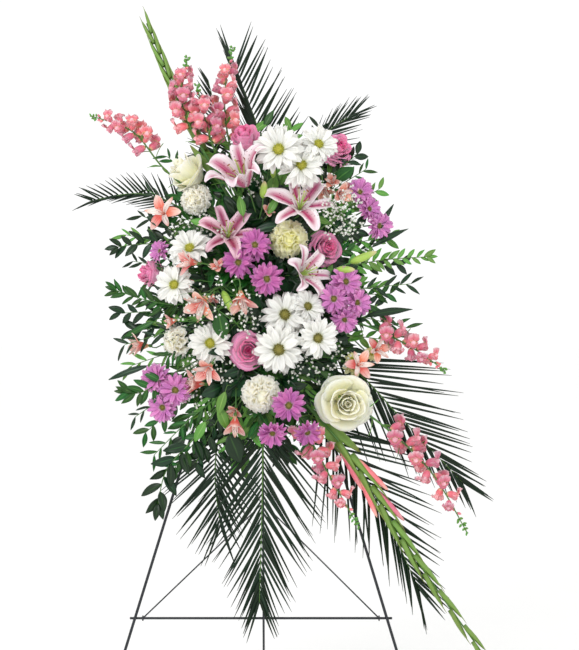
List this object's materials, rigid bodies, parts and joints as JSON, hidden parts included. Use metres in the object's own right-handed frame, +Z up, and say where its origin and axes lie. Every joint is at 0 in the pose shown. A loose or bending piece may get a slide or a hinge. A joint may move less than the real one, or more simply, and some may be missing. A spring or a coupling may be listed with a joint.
{
  "type": "standing funeral flower spray on a wire easel",
  "caption": "Standing memorial spray: mixed fresh flowers and palm fronds in a foam block, hung on a folding three-legged wire easel.",
  "frame": {"origin": "on the floor, on the arrangement's mid plane, below the point where the front legs' lean crosses level 0: the front feet stand 141 mm in front of it and the rear foot 300 mm behind it", "axes": "+Z up, -Y the way the flowers face, +X to the viewer's right"},
  "size_m": [0.8459, 0.5386, 1.4355],
  "materials": {
    "easel_paint": "satin dark navy-black paint on steel wire",
    "plate_plastic": "matte moulded green plastic",
    "floral_foam": "dull open-cell green foam",
    "palm_leaf": "dark green leaf with a waxy sheen",
    "leaf_green": "mid green leaf, satin",
    "gladiolus_green": "pale green sheath, satin",
    "snapdragon_pink": "coral-pink petal, soft",
    "lily_pink": "pink petal with pale edge, soft satin",
    "rose_pink": "orchid-pink petal, soft",
    "rose_cream": "cream petal, soft",
    "carnation_cream": "ivory petal, matte",
    "daisy_white": "white petal, soft",
    "daisy_violet": "violet-pink petal, soft",
    "alstroemeria_salmon": "salmon petal, satin",
    "gypsophila_white": "small dull white florets"
  },
  "bodies": {
    "spray": {"alstroemeria_left": "alstroemeria_salmon", "alstroemeria_low": "alstroemeria_salmon", "alstroemeria_middle": "alstroemeria_salmon", "alstroemeria_right": "alstroemeria_salmon", "carnation_left": "carnation_cream", "carnation_low": "carnation_cream", "carnation_top_left": "carnation_cream", "carnation_upper": "carnation_cream", "cross_bar": "easel_paint", "daisy_violet_left": "daisy_violet", "daisy_violet_low": "daisy_violet", "daisy_violet_low_left": "daisy_violet", "daisy_violet_middle": "daisy_violet", "daisy_violet_right": "daisy_violet", "daisy_violet_upper_right": "daisy_violet", "daisy_white_left": "daisy_white", "daisy_white_low": "daisy_white", "daisy_white_middle": "daisy_white", "daisy_white_top": "daisy_white", "foam_block": "floral_foam", "foam_plate": "plate_plastic", "front_leg_left": "easel_paint", "front_leg_right": "easel_paint", "gladiolus_low": "gladiolus_green", "gladiolus_top": "gladiolus_green", "gypsophila_left": "gypsophila_white", "gypsophila_right": "gypsophila_white", "leafy_left_low": "leaf_green", "leafy_left_mid": "leaf_green", "leafy_left_upper": "leaf_green", "leafy_right": "leaf_green", "leafy_trailing": "leaf_green", "lily_left": "lily_pink", "lily_right": "lily_pink", "lily_upper_left": "lily_pink", "lily_upper_right": "lily_pink", "palm_bottom": "palm_leaf", "palm_left": "palm_leaf", "palm_low_left": "palm_leaf", "palm_right": "palm_leaf", "palm_top": "palm_leaf", "palm_upper_right": "palm_leaf", "rose_cream_left": "rose_cream", "rose_cream_low": "rose_cream", "rose_left": "rose_pink", "rose_middle": "rose_pink", "rose_right": "rose_pink", "rose_top": "rose_pink", "rose_top_right": "rose_pink", "snapdragon_left": "snapdragon_pink", "snapdragon_low_mid": "snapdragon_pink", "snapdragon_low_right": "snapdragon_pink", "snapdragon_right": "snapdragon_pink", "snapdragon_top": "snapdragon_pink", "snapdragon_top_left": "snapdragon_pink", "snapdragon_top_mid": "snapdragon_pink", "top_bar": "easel_paint"},
    "rear_leg": {"rear_leg": "easel_paint"},
    "brace": {"brace_left": "easel_paint", "brace_right": "easel_paint"}
  },
  "joints": [
    {"name": "rear_leg_hinge", "type": "hinge", "parent": "spray", "child": "rear_leg", "pos_m": [0, 0.01746, 0.9], "axis": [1, 0, 0], "range_deg": [-22, 0]},
    {"name": "brace_hinge", "type": "hinge", "parent": "spray", "child": "brace", "pos_m": [0, -0.10222, 0.196], "axis": [1, 0, 0], "range_deg": [0, 37]}
  ],
  "couplings": [
    {"joint": "brace_hinge", "follows": "rear_leg_hinge", "ratio": -1.66}
  ]
}
